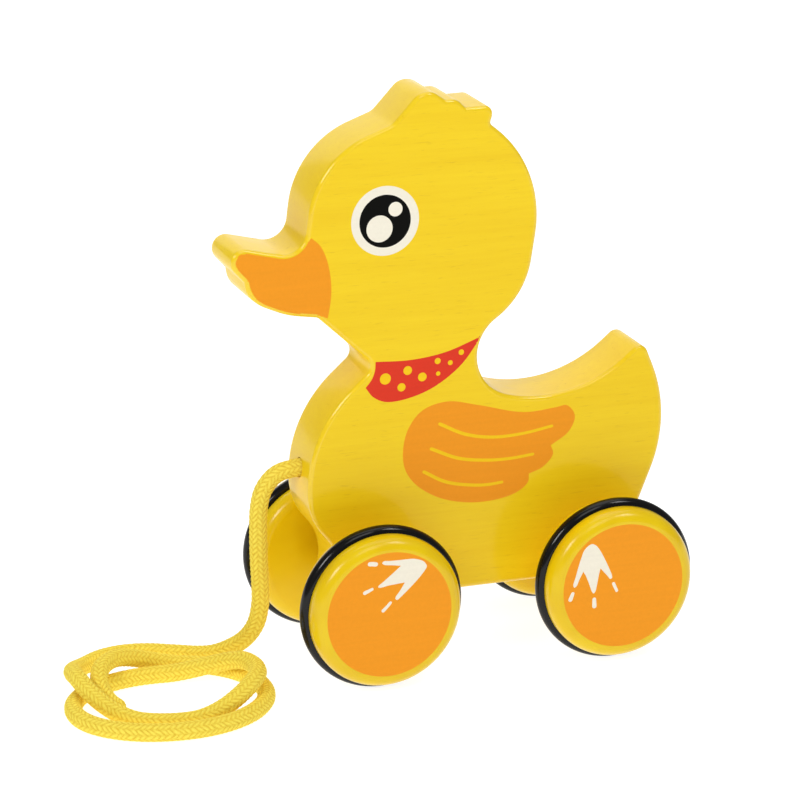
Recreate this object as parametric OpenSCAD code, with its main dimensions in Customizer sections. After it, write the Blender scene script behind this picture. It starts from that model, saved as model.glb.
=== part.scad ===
// Pull-along duck: a thick board cut to a duck's outline on two axles with four
// wooden wheels, rubber ring tyres and a pull cord plugged into the breast.
// Millimetres, Z up, the duck faces -X, Y = 0 is the board's middle plane, Z = 0 is the floor.

/* [Board] */
// Thickness of the board that the duck is cut from
board_t = 22; // [18:0.5:28]
// Radius of the rounded rim on both faces of the board
edge_r = 1.4; // [0.5:0.1:2.5]
// Height of the whole duck over its crest
duck_h = 192.8; // [186:0.1:202]
// Reach of the bill ahead of the front axle
bill_reach = 44.2; // [39:0.1:50]
// Reach of the breast ahead of the front axle
breast_reach = 18.4; // [15:0.1:21]
// Reach of the tail behind the front axle
tail_reach = 106.8; // [101:0.1:115]
// Depth of the underside below the axles
belly_drop = 5; // [4:0.5:6]
// Radius of the round boss about each axle
boss_r = 9; // [8:0.5:10]

/* [Wheels] */
// Distance between the front and the rear axle
wheelbase = 82; // [78:0.5:92]
// Distance between the middle planes of a left and a right wheel
track = 59.5; // [56:0.5:68]
// Diameter of the wooden wheel over its rim
wheel_d = 51.5; // [46:0.5:56]
// Width of the wooden wheel
wheel_w = 17; // [14:0.5:19]
// Radius of the rounded shoulders of the wheel
shoulder_r = 4.3; // [2:0.1:4.5]

/* [Tyres] */
// Thickness of the rubber ring
tyre_d = 4.8; // [3.5:0.1:5]
// Height of the rubber ring above the rim
tyre_proud = 2.05; // [1:0.05:2.2]
// Clearance of the ring at the sides of its groove
tyre_gap = 0.15; // [0.05:0.05:0.3]

/* [Axles] */
// Diameter of the axle dowel
axle_d = 6; // [5:0.5:7]
// Depth of the axle in each wheel
axle_sink = 10; // [7:0.5:11.5]
// Running clearance round the axle in the board
run_clear = 0.1; // [0.05:0.01:0.1]
// Glue gap round the axle in the wheels and collars
glue_gap = 0.05; // [0.02:0.01:0.1]
// Outside diameter of the spacing collars
collar_d = 9; // [8.5:0.5:11]
// Side play of the wheel set on each side of the board
side_play = 0.5; // [0.3:0.1:1]

/* [Cord] */
// Diameter of the pull cord
cord_d = 6; // [5:0.1:6.3]
// Clearance round the cord in its hole
hole_clear = 0.3; // [0.2:0.1:0.8]
// Depth of the cord's hole behind the breast
hole_depth = 20; // [14:0.5:30]
// Height of the cord's hole above the axles
hole_rise = 40; // [34:0.5:46]
// Width of the softened edge at the mouth of the hole
mouth_soft = 0.4; // [0.2:0.1:1]

/* [Hidden] */

// The duck's own left is the side of -Y
LEFT = -1;
RIGHT = 1;
// Overlap of a cut beyond the face that it opens
OVER = 1;
// Greatest gap between an arc and its chords
ARC_GAP = 0.05;
// Steps of the rounded rim
RIM_STEPS = 3;
// Facets of turned pieces
$fn = 96;

tyre_od = wheel_d + 2 * tyre_proud;
axle_z = tyre_od / 2;
rear_end = max(wheelbase + tyre_od / 2, tail_reach);
front_x = (bill_reach - rear_end) / 2;
rear_x = front_x + wheelbase;
inner_y = track / 2 - wheel_w / 2;
collar_l = inner_y - board_t / 2 - side_play;
axle_l = 2 * (inner_y + axle_sink);
bore_d = axle_d + 2 * run_clear;
fixed_d = axle_d + 2 * glue_gap;
hole_d = cord_d + 2 * hole_clear;
hole_z = axle_z + hole_rise;
breast_x = front_x - breast_reach;
hole_end_x = breast_x + hole_depth;

// The outline is a belt laid round discs, clockwise as seen from the left side. Each disc is
// [x, z, radius] from the front axle, and a hollow has a negative radius.
// Head: place behind the front axle, height of the crest above the head's centre, radii
HEAD_X = 21.8;
CREST_H = 44.5;
HEAD_R = 38.9;
BROW_R = 31.4;
NAPE_R = 27.7;
TUFT_R = 6;
NICK_R = 1;
// Bill: radii of its tip, the nick below it, its lower lip and chin, the long curve of its
// underside and the hollow at its root
BILL_TIP_R = 4.4;
BILL_NICK_R = 0.3;
LIP_R = 7.5;
CHIN_R = 13.4;
BILL_UNDER_R = 31.4;
BILL_ROOT_R = 7.2;
// Body: radii
NECK_R = 14.8;
THROAT_R = 3.9;
TAIL_TIP_R = 3.3;
FLANK_R = 16.5;
UNDER_R = 6;
UNDER_GAP = 5.5;
BACK_R = 46.6;
TAIL_R = 48.2;
CHEST_R = 24;
BREAST_R = 44.5;

head_rise = duck_h - axle_z - CREST_H;
function by_head(x, z, r) = [HEAD_X + x, head_rise + z, r];
function by_bill(x, z, r) = [x - bill_reach, head_rise + z, r];
function clamped(q) = max(-1, min(1, q));
function wrapped(a) = a - 360 * round(a / 360);

// Disc of radius r that touches the discs a and b, on the chosen side of the line from a to b
function blend(a, b, r, side) =
    let (ra = abs(a[2] - r))
    let (rb = abs(b[2] - r))
    let (v = [b[0] - a[0], b[1] - a[1]])
    let (gap = norm(v))
    let (along = (ra * ra - rb * rb + gap * gap) / (2 * gap))
    let (off = side * sqrt(max(0, ra * ra - along * along)))
    [a[0] + (along * v[0] - off * v[1]) / gap, a[1] + (along * v[1] + off * v[0]) / gap, r];

nape = by_head(9.5, -10, NAPE_R);
back = [tail_reach - 43.5, 105.9, -BACK_R];
tail_tip = [tail_reach - 8.9, 69.8, TAIL_TIP_R];
tail = [tail_reach - TAIL_R, 47.4, TAIL_R];
rear_boss = [wheelbase, 0, boss_r];
front_boss = [0, 0, boss_r];
under_z = -belly_drop - UNDER_R;
chest = [CHEST_R - breast_reach, 34.2, CHEST_R];
breast = [BREAST_R - breast_reach, 34.8, BREAST_R];
throat = [breast[0] - 27.2, breast[1] + 40.6, -THROAT_R];

neck = blend(nape, back, -NECK_R, -1);
flank = blend(chest, front_boss, -FLANK_R, -1);

// Head from the throat up round the bill, the crest and down to the neck, then the body from
// the neck round the tail, the underside and the breast to the throat
head_discs = [
    throat,
    by_head(-37.7, -28.9, -2),
    by_bill(27.8, 5, BILL_UNDER_R),
    by_bill(17, -9.9, CHIN_R),
    by_bill(12.2, -13.6, LIP_R),
    by_bill(4.2, -13.2, -BILL_NICK_R),
    by_bill(BILL_TIP_R, -6.4, BILL_TIP_R),
    by_head(-47.9, 2.2, -BILL_ROOT_R),
    by_head(-9, 2.4, BROW_R),
    by_head(-15, 40, -TUFT_R),
    by_head(0, CREST_H - TUFT_R, TUFT_R),
    by_head(6.5, 42.5, -NICK_R),
    by_head(8, 36.5, 5),
    by_head(13.5, 39.5, -NICK_R),
    by_head(19.5, 35.6, 3),
    by_head(23.4, 33, -1.5),
    by_head(-0.3, 0.2, HEAD_R),
    nape,
    neck];
body_discs = [
    neck,
    back,
    tail_tip,
    tail,
    rear_boss,
    [wheelbase - boss_r - UNDER_GAP, under_z, -UNDER_R],
    [boss_r + UNDER_GAP, under_z, -UNDER_R],
    front_boss,
    flank,
    chest,
    breast,
    throat];

// Direction of the belt between two discs
function heading(a, b) =
    let (v = [b[0] - a[0], b[1] - a[1]])
    atan2(v[1], v[0]) + asin(clamped((b[2] - a[2]) / norm(v)));

// Points of one disc's arc as [x, z, outward x, outward z]
function arc_points(d, from, turn) =
    let (steps = max(1, ceil(abs(turn) / (2 * acos(1 - ARC_GAP / abs(d[2]))))))
    [for (j = [0 : steps])
        let (h = from + turn * j / steps)
        [d[0] - d[2] * sin(h), d[1] + d[2] * cos(h), -sin(h), cos(h)]];

// Points of a chain of discs, from the middle of the first arc to the middle of the last
function chain_points(before, chain, after) =
    let (all = concat([before], chain, [after]))
    let (n = len(chain))
    [for (i = [1 : n])
        let (from = heading(all[i - 1], all[i]))
        let (turn = wrapped(heading(all[i], all[i + 1]) - from))
        let (skip = i == 1 ? turn / 2 : 0)
        let (rest = i == n ? turn / 2 : 0)
        each arc_points(all[i], from + skip, turn - skip - rest)];
function step_length(p, i) = norm([p[i][0] - p[i - 1][0], p[i][1] - p[i - 1][1]]);
function tidied(p) = [for (i = [0 : len(p) - 1]) if (i == 0 || step_length(p, i) > ARC_GAP) p[i]];

head_line = tidied(chain_points(breast, head_discs, back));
body_line = tidied(chain_points(nape, body_discs, head_discs[1]));
head_n = len(head_line);
outline = concat(head_line, [for (i = [1 : len(body_line) - 2]) body_line[i]]);
outline_n = len(outline);
// Middles of the fans that close the two faces
head_fan = [HEAD_X - 17, head_rise - 20];
body_fan = [tail_reach - 57, 27.5];

// Rings of the board from its left to its right face as [inset, y]
half_t = board_t / 2;
rim = [for (k = [0 : RIM_STEPS])
    let (a = 90 * k / RIM_STEPS)
    [edge_r * (1 - sin(a)), half_t - edge_r * (1 - cos(a))]];
rings = concat(
    [for (k = [0 : RIM_STEPS]) [rim[k][0], LEFT * rim[k][1]]],
    [for (k = [RIM_STEPS : -1 : 0]) [rim[k][0], RIGHT * rim[k][1]]]);
ring_n = len(rings);

// Coil of the cord on the floor: x of its reaches at every half turn from turn 0, y at every
// half turn from turn -0.25, and the turns between which it rises over a strand
FLOOR_GAP = 0.2;
CROSS_GAP = 0.9;
COIL_SIDES = 6;
COIL_STEPS = 24;
GAP_STEPS = 96;
TURN_FIRST = 0.17;
TURN_LAST = 2.6;
// Length of each slope up or down in turns
SLOPE = 0.18;
lying_z = cord_d / 2 + FLOOR_GAP;
coil_x = [-82.6, -131, -74.1, -135.6, -71.8, -124.1, -77.6];
coil_y = [-30.6, 17.2, -45.3, -4.3, -52.9, 2.3, -38.4];
coil_rises = [[0.43, 0.58], [0.84, 1.13], [2.29, 2.5]];

function eased(q) = let (c = max(0, min(1, q))) c * c * (3 - 2 * c);
function swing(reach, s) =
    let (i = max(0, min(len(reach) - 2, floor(s))))
    reach[i] + (reach[i + 1] - reach[i]) * (1 - cos(180 * (s - i))) / 2;
function lifted(u, r) = eased((u - r[0]) / SLOPE + 0.5) * (1 - eased((u - r[1]) / SLOPE + 0.5));
function coil_z(u) =
    lying_z + (cord_d + CROSS_GAP) * max([for (r = coil_rises) lifted(u, r)]);
function coil_at(u) = [swing(coil_x, 2 * u), swing(coil_y, 2 * u + 0.5), coil_z(u)];
function coil_path(steps) =
    let (n = round(steps * (TURN_LAST - TURN_FIRST)))
    [for (i = [0 : n]) coil_at(TURN_FIRST + (TURN_LAST - TURN_FIRST) * i / n)];

// Free run of the cord from the hole to the coil, straight in the hole and where it meets the coil
DROP_SIDES = 10;
DROP_STEPS = 2;
TINY_TURN = 0.001;
lead = unit(coil_at(TURN_FIRST + TINY_TURN) - coil_at(TURN_FIRST)) * cord_d;
joint = coil_at(TURN_FIRST) - lead;
drop_route = [
    [hole_end_x, 0, hole_z],
    [hole_end_x - cord_d, 0, hole_z],
    [breast_x, 0, hole_z],
    [-58.6, 0, 66.2],
    [-63.2, -0.4, 61.5],
    [-65, -0.9, 55.3],
    [-65.4, -1.5, 47],
    [-65.4, -2, 38],
    [-65, -2, 30],
    [-65, -2, 22.5],
    [-66.4, -1.4, 15.5],
    [-69.7, 0.6, 9.8],
    [-75.1, 3.2, 5.9],
    [-79.8, 5.7, 3.9],
    joint - lead,
    joint - lead / 2,
    joint];

// Smooth curve through hand-set points
function spline_at(a, b, c, d, t) = 0.5 * (2 * b + (c - a) * t
    + (2 * a - 5 * b + 4 * c - d) * t * t + (3 * b - a - 3 * c + d) * t * t * t);
function spline(p, steps) =
    let (n = len(p) - 1)
    concat([for (i = [0 : n - 1])
        for (k = [0 : steps - 1])
        spline_at(p[max(i - 1, 0)], p[i], p[i + 1], p[min(i + 2, n)], k / steps)], [p[n]]);

// Least free space between turns of the coil, measured on its middle line
gap_path = coil_path(GAP_STEPS);
gap_n = len(gap_path);
apart = [for (i = [0 : gap_n - 1])
    for (j = [i + GAP_STEPS / 3 : 1 : gap_n - 1])
    norm(gap_path[i] - gap_path[j])];
echo(coil_least_gap = min(apart) - cord_d);

function unit(v) = v / norm(v);
function run(p, i) = unit(p[min(i + 1, len(p) - 1)] - p[max(i - 1, 0)]);
function tube_ring(p, i, across, sides) =
    let (t = run(p, i))
    let (s = unit(cross(t, across)))
    let (v = cross(s, t))
    [for (k = [0 : sides - 1])
        p[i] + cord_d / 2 * (cos(360 * k / sides) * s + sin(360 * k / sides) * v)];

// Round tube along a path; across is a direction that the path never takes
module tube(p, across, sides) {
    last = len(p) - 1;
    points = [for (i = [0 : last]) each tube_ring(p, i, across, sides)];
    skin = [for (i = [0 : last - 1])
        for (k = [0 : sides - 1])
        let (m = (k + 1) % sides)
        [i * sides + m, (i + 1) * sides + m, (i + 1) * sides + k, i * sides + k]];
    start = [for (k = [sides - 1 : -1 : 0]) k];
    end = [for (k = [0 : sides - 1]) last * sides + k];
    polyhedron(points, concat([start], skin, [end]));
}

// Triangles from a middle point to a loop, and the same loop of the other face
function fan(loop, middle) =
    [for (j = [0 : len(loop) - 1]) [middle, loop[j], loop[(j + 1) % len(loop)]]];
function turned(loop, shift) = [for (j = [len(loop) - 1 : -1 : 0]) shift + loop[j]];

// Board with rounded rims, before its holes
module board() {
    fans = ring_n * outline_n;
    skin_points = [for (r = rings)
        for (p = outline)
        [front_x + p[0] - r[0] * p[2], r[1], axle_z + p[1] - r[0] * p[3]]];
    fan_points = [for (side = [LEFT, RIGHT])
        for (f = [head_fan, body_fan])
        [front_x + f[0], side * half_t, axle_z + f[1]]];
    skin = [for (r = [0 : ring_n - 2])
        for (j = [0 : outline_n - 1])
        let (m = (j + 1) % outline_n)
        [r * outline_n + j, (r + 1) * outline_n + j, (r + 1) * outline_n + m, r * outline_n + m]];
    head_loop = [for (j = [0 : head_n - 1]) j];
    body_loop = [for (j = [head_n - 1 : outline_n]) j % outline_n];
    far = (ring_n - 1) * outline_n;
    faces = concat(skin, fan(head_loop, fans), fan(body_loop, fans + 1),
        fan(turned(head_loop, far), fans + 2), fan(turned(body_loop, far), fans + 3));
    polyhedron(concat(skin_points, fan_points), faces);
}

module axle_bore(x) {
    translate([x, 0, axle_z])
        rotate([90, 0, 0])
        cylinder(d = bore_d, h = board_t + 2 * OVER, center = true);
}

module cord_hole() {
    translate([breast_x - OVER, 0, hole_z])
        rotate([0, 90, 0])
        cylinder(d = hole_d, h = hole_depth + OVER);
    translate([breast_x, 0, hole_z])
        rotate([0, 90, 0])
        cylinder(d1 = hole_d + 2 * mouth_soft, d2 = hole_d, h = mouth_soft);
}

module duck_body() {
    color("gold")
    difference() {
        board();
        axle_bore(front_x);
        axle_bore(rear_x);
        cord_hole();
    }
}

// Places a piece that is drawn outwards from the inner face of a wheel
module on_axle(x, side) {
    translate([x, side * inner_y, axle_z])
        rotate([-90 * side, 0, 0])
        children();
}

module axle(x) {
    color("burlywood")
    translate([x, 0, axle_z])
        rotate([90, 0, 0])
        cylinder(d = axle_d, h = axle_l, center = true);
}

module wheel_section() {
    shoulder_x = wheel_d / 2 - shoulder_r;
    difference() {
        union() {
            square([shoulder_x, wheel_w]);
            translate([0, shoulder_r])
                square([wheel_d / 2, wheel_w - 2 * shoulder_r]);
            translate([shoulder_x, shoulder_r])
                circle(r = shoulder_r);
            translate([shoulder_x, wheel_w - shoulder_r])
                circle(r = shoulder_r);
        }
        translate([tyre_od / 2 - tyre_d / 2 + tyre_gap, wheel_w / 2])
            circle(r = tyre_d / 2 + tyre_gap);
        square([fixed_d / 2, axle_sink]);
    }
}

module wheel(x, side) {
    color("yellow")
    on_axle(x, side)
        rotate_extrude()
        wheel_section();
}

module tyre(x, side) {
    color("#222222")
    on_axle(x, side)
        translate([0, 0, wheel_w / 2])
        rotate_extrude()
        translate([tyre_od / 2 - tyre_d / 2, 0])
        circle(d = tyre_d);
}

module collar(x, side) {
    color("yellow")
    on_axle(x, side)
        translate([0, 0, -collar_l])
        difference() {
            cylinder(d = collar_d, h = collar_l);
            translate([0, 0, -OVER])
                cylinder(d = fixed_d, h = collar_l + 2 * OVER);
        }
}

module front_axle() { axle(front_x); }
module rear_axle() { axle(rear_x); }
module front_left_wheel() { wheel(front_x, LEFT); }
module front_right_wheel() { wheel(front_x, RIGHT); }
module rear_left_wheel() { wheel(rear_x, LEFT); }
module rear_right_wheel() { wheel(rear_x, RIGHT); }
module front_left_tyre() { tyre(front_x, LEFT); }
module front_right_tyre() { tyre(front_x, RIGHT); }
module rear_left_tyre() { tyre(rear_x, LEFT); }
module rear_right_tyre() { tyre(rear_x, RIGHT); }
module front_left_collar() { collar(front_x, LEFT); }
module front_right_collar() { collar(front_x, RIGHT); }
module rear_left_collar() { collar(rear_x, LEFT); }
module rear_right_collar() { collar(rear_x, RIGHT); }

module pull_cord_drop() {
    color("khaki")
    tube(spline(drop_route, DROP_STEPS), [0, 1, 0], DROP_SIDES);
}

module pull_cord_coil() {
    color("khaki")
    tube(concat([joint], coil_path(COIL_STEPS)), [0, 0, 1], COIL_SIDES);
}

duck_body();
front_axle();
rear_axle();
front_left_wheel();
front_right_wheel();
rear_left_wheel();
rear_right_wheel();
front_left_tyre();
front_right_tyre();
rear_left_tyre();
rear_right_tyre();
front_left_collar();
front_right_collar();
rear_left_collar();
rear_right_collar();
pull_cord_drop();
pull_cord_coil();
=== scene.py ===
"""Dressed model of a wooden pull-along duck.

A thick lacquered board cut to a duck's outline stands on two axles with four turned wheels
and rubber ring tyres, and a braided cotton cord is plugged into the breast. Sizes are given
in millimetres and become metres when a mesh is made. +Z is up, the duck faces -X and its
left side, which the camera sees, is the side of -Y.
"""
import logging
import math
from dataclasses import dataclass, field
from enum import Enum

import bmesh
import bpy
from bpy.types import GeometryNodeTree, ID, Material, Mesh, Node, NodeSocket, NodeTree, Object
from mathutils import Matrix, Vector
from mathutils.geometry import delaunay_2d_cdt


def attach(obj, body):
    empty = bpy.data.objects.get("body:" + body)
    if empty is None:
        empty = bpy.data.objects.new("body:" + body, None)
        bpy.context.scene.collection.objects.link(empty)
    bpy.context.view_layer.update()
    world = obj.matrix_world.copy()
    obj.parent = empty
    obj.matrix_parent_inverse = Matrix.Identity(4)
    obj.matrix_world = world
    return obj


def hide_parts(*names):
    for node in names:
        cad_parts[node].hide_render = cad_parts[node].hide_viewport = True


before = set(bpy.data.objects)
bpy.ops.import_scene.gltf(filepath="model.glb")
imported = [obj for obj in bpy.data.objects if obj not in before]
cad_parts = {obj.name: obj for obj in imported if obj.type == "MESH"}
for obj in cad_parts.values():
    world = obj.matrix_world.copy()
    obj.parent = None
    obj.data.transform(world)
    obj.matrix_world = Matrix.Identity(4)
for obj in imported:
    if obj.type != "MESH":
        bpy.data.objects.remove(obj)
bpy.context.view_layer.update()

LOG = logging.getLogger("pull_along_duck")
MM = 0.001
LEFT = -1
RIGHT = 1
# Places that the board, the wheels and the cord share, in millimetres
FRONT_AXLE_X = -32.8
REAR_AXLE_X = 49.2
AXLE_Z = 27.8
BREAST_X = -51.2
HOLE_Z = 67.8
HOLE_DEPTH = 20.0
# Angle in degrees above which an edge stays sharp
CREASE = 32.0
# Points closer than this become one, and edges shorter than that go, in millimetres
WELD = 0.002
SLIVER = 0.001
# Places of the Mix node's inputs
FACTOR, FLOAT_A, FLOAT_B, COLOUR_A, COLOUR_B = 0, 2, 3, 6, 7

Flat = tuple[float, float]
Point = tuple[float, float, float]
Disc = tuple[float, float, float]


def linear(code: str) -> tuple[float, float, float, float]:
    """Turns an sRGB hex colour into linear RGBA.

    Args:
        code: Colour such as "#f5d230".

    Returns:
        Red, green, blue and alpha in linear light.
    """
    parts = [int(code[i:i + 2], 16) / 255 for i in (1, 3, 5)]
    red, green, blue = (p / 12.92 if p <= 0.04045 else ((p + 0.055) / 1.055) ** 2.4 for p in parts)
    return red, green, blue, 1.0


def fill(tree: NodeTree, node: Node, inputs: dict[str | int, object]) -> None:
    """Sets a node's inputs to values or links them.

    Args:
        tree: Node tree that holds the node.
        node: Node whose inputs are set.
        inputs: Values, sockets or nodes, which stand for their first open output, by the name or
            the place of the node's inputs.
    """
    for key, value in inputs.items():
        if isinstance(value, Node):
            value = next(socket for socket in value.outputs if socket.enabled)
        if isinstance(value, NodeSocket):
            tree.links.new(value, node.inputs[key])
        else:
            node.inputs[key].default_value = value


def add(
    tree: NodeTree,
    kind: str,
    settings: dict[str, object] | None = None,
    inputs: dict[str | int, object] | None = None,
) -> Node:
    """Adds one node with its settings, values and links.

    Args:
        tree: Node tree of a material or of a geometry group.
        kind: Blender's name of the node type.
        settings: Properties of the node.
        inputs: Values, sockets or nodes, which stand for their first open output, by the name or
            the place of the node's inputs.

    Returns:
        The new node.
    """
    node = tree.nodes.new(kind)
    for name, value in (settings or {}).items():
        setattr(node, name, value)
    fill(tree, node, inputs or {})
    return node


def new_material(name: str) -> tuple[Material, NodeTree, Node, NodeSocket]:
    """Makes an empty material with a surface shader.

    Args:
        name: Common name of the real material.

    Returns:
        The material, its node tree, its surface shader and the piece's own coordinates.
    """
    material = bpy.data.materials.new(name)
    material.use_nodes = True
    tree = material.node_tree
    tree.nodes.clear()
    shader = add(tree, "ShaderNodeBsdfPrincipled")
    add(tree, "ShaderNodeOutputMaterial", inputs={"Surface": shader})
    return material, tree, shader, add(tree, "ShaderNodeTexCoord").outputs["Object"]


def grain_scale(long_mm: float, deep_mm: float, high_mm: float) -> Point:
    """Gives the scale of a pattern whose marks have these sizes along X, Y and Z."""
    return 1 / (long_mm * MM), 1 / (deep_mm * MM), 1 / (high_mm * MM)


def spread(low: float, high: float) -> dict[str, float]:
    """Gives the inputs for the range of a pattern that is spread from 0 to 1."""
    return {"From Min": low, "From Max": high}


@dataclass(frozen=True)
class LacqueredBeech:
    """Beech board under a yellow stain and a clear satin lacquer.

    The stain lets the grain show as faint streaks along the board with short darker pores.
    """

    name: str = "beech_yellow_stain_satin_lacquer"
    pale: str = "#f6d31a"
    deep: str = "#f0c912"
    pore: str = "#c8960f"
    figure_mm: Point = (170.0, 40.0, 13.0)
    streak_mm: Point = (26.0, 3.0, 1.1)
    # Beech pores are too fine to show, so they are drawn this coarse
    pore_mm: Point = (4.5, 0.7, 0.42)
    waviness: float = 0.6
    streak_share: float = 0.42
    tone_range: Flat = (0.34, 0.66)
    pore_range: Flat = (0.64, 0.78)
    pore_depth: float = 0.26
    relief_mm: float = 0.06
    roughness: Flat = (0.31, 0.43)
    coat: float = 0.27
    coat_roughness: float = 0.12

    def make(self) -> Material:
        """Builds the material with its grain running along X.

        Returns:
            The material.
        """
        material, tree, shader, where = new_material(self.name)
        marks = []
        for size, detail in ((self.figure_mm, 2.0), (self.streak_mm, 4.0), (self.pore_mm, 1.0)):
            scaled = add(tree, "ShaderNodeMapping", inputs={"Vector": where, "Scale": grain_scale(*size)})
            noise = add(tree, "ShaderNodeTexNoise", inputs={
                "Vector": scaled, "Scale": 1.0, "Detail": detail, "Distortion": self.waviness})
            marks.append(noise)
        figure, streak, pore = marks
        blended = add(tree, "ShaderNodeMix", {"data_type": "FLOAT"}, {
            FACTOR: self.streak_share, FLOAT_A: figure, FLOAT_B: streak})
        tone = add(tree, "ShaderNodeMapRange", inputs={"Value": blended, **spread(*self.tone_range)})
        stain = add(tree, "ShaderNodeMix", {"data_type": "RGBA"}, {
            FACTOR: tone, COLOUR_A: linear(self.deep), COLOUR_B: linear(self.pale)})
        pores = add(tree, "ShaderNodeMapRange", inputs={
            "Value": pore, **spread(*self.pore_range), "To Max": self.pore_depth})
        colour = add(tree, "ShaderNodeMix", {"data_type": "RGBA"}, {
            FACTOR: pores, COLOUR_A: stain, COLOUR_B: linear(self.pore)})
        height = add(tree, "ShaderNodeMath", {"operation": "SUBTRACT"}, {0: streak, 1: pores})
        bump = add(tree, "ShaderNodeBump", inputs={
            "Height": height, "Strength": 0.12, "Distance": self.relief_mm * MM})
        gloss = add(tree, "ShaderNodeMapRange", inputs={
            "Value": streak, "To Min": self.roughness[0], "To Max": self.roughness[1]})
        fill(tree, shader, {
            "Base Color": colour, "Normal": bump, "Roughness": gloss, "IOR": 1.5, "Specular IOR Level": 0.08,
            "Coat Weight": self.coat, "Coat Roughness": self.coat_roughness})
        return material


class Ink(Enum):
    """Screen inks printed on the board and on the wheels."""

    ORANGE = "#f29a24"
    RED = "#de3c28"
    YELLOW = "#f6ca1e"
    CREAM = "#f2ecda"
    BLACK = "#070705"


@dataclass(frozen=True)
class ScreenInk:
    """Opaque screen ink, a thin even film that dulls the lacquer and lets a little grain through."""

    ink: Ink
    mottle_mm: float = 1.1
    streak_mm: Point = (42.0, 3.0, 1.3)
    streak_share: float = 0.5
    tone_range: Flat = (0.3, 0.7)
    depth: Flat = (0.97, 1.03)
    relief_mm: float = 0.04

    def make(self) -> Material:
        """Builds the ink's material with its faint mottle and the grain below.

        Returns:
            The material.
        """
        material, tree, shader, where = new_material(f"screen_ink_{self.ink.name.lower()}")
        mottle = add(tree, "ShaderNodeTexNoise", inputs={
            "Vector": where, "Scale": 1 / (self.mottle_mm * MM), "Detail": 2.0})
        scaled = add(tree, "ShaderNodeMapping", inputs={
            "Vector": where, "Scale": grain_scale(*self.streak_mm)})
        grain = add(tree, "ShaderNodeTexNoise", inputs={"Vector": scaled, "Scale": 1.0, "Detail": 4.0})
        both = add(tree, "ShaderNodeMix", {"data_type": "FLOAT"}, {
            FACTOR: self.streak_share, FLOAT_A: mottle, FLOAT_B: grain})
        value = add(tree, "ShaderNodeMapRange", inputs={
            "Value": both, **spread(*self.tone_range), "To Min": self.depth[0], "To Max": self.depth[1]})
        colour = add(tree, "ShaderNodeHueSaturation", inputs={
            "Value": value, "Color": linear(self.ink.value)})
        bump = add(tree, "ShaderNodeBump", inputs={
            "Height": both, "Strength": 0.1, "Distance": self.relief_mm * MM})
        fill(tree, shader, {
            "Base Color": colour, "Normal": bump, "Roughness": 0.4, "IOR": 1.48, "Specular IOR Level": 0.07})
        return material


@dataclass(frozen=True)
class WheelEnamel:
    """Sprayed gloss enamel, deep yellow with a soft orange-peel ripple and broad highlights."""

    name: str = "wood_yellow_gloss_enamel"
    pale: str = "#ecca0a"
    deep: str = "#e5be04"
    ripple_mm: float = 2.2
    relief_mm: float = 0.1
    cloud_mm: float = 16.0
    cloud_range: Flat = (0.35, 0.65)

    def make(self) -> Material:
        """Builds the enamel with its clouds of thicker paint and its ripple.

        Returns:
            The material.
        """
        material, tree, shader, where = new_material(self.name)
        cloud = add(tree, "ShaderNodeTexNoise", inputs={"Vector": where, "Scale": 1 / (self.cloud_mm * MM)})
        ripple = add(tree, "ShaderNodeTexNoise", inputs={
            "Vector": where, "Scale": 1 / (self.ripple_mm * MM), "Detail": 1.0})
        tone = add(tree, "ShaderNodeMapRange", inputs={"Value": cloud, **spread(*self.cloud_range)})
        colour = add(tree, "ShaderNodeMix", {"data_type": "RGBA"}, {
            FACTOR: tone, COLOUR_A: linear(self.deep), COLOUR_B: linear(self.pale)})
        bump = add(tree, "ShaderNodeBump", inputs={
            "Height": ripple, "Strength": 0.08, "Distance": self.relief_mm * MM})
        fill(tree, shader, {
            "Base Color": colour, "Normal": bump, "Roughness": 0.3, "IOR": 1.52, "Specular IOR Level": 0.1,
            "Coat Weight": 0.5, "Coat Roughness": 0.2})
        return material


@dataclass(frozen=True)
class BareBeech:
    """Sanded beech dowel without finish, pale and matt with short flecks along its length."""

    name: str = "beech_dowel_sanded"
    pale: str = "#e3c08d"
    deep: str = "#c99f69"
    fleck_mm: Point = (0.5, 5.0, 0.5)
    fleck_range: Flat = (0.35, 0.65)
    relief_mm: float = 0.05

    def make(self) -> Material:
        """Builds the material with its flecks running along Y.

        Returns:
            The material.
        """
        material, tree, shader, where = new_material(self.name)
        scaled = add(tree, "ShaderNodeMapping", inputs={
            "Vector": where, "Scale": grain_scale(*self.fleck_mm)})
        fleck = add(tree, "ShaderNodeTexNoise", inputs={"Vector": scaled, "Scale": 1.0, "Detail": 3.0})
        tone = add(tree, "ShaderNodeMapRange", inputs={"Value": fleck, **spread(*self.fleck_range)})
        colour = add(tree, "ShaderNodeMix", {"data_type": "RGBA"}, {
            FACTOR: tone, COLOUR_A: linear(self.deep), COLOUR_B: linear(self.pale)})
        bump = add(tree, "ShaderNodeBump", inputs={
            "Height": fleck, "Strength": 0.3, "Distance": self.relief_mm * MM})
        fill(tree, shader, {"Base Color": colour, "Normal": bump, "Roughness": 0.68})
        return material


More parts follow.
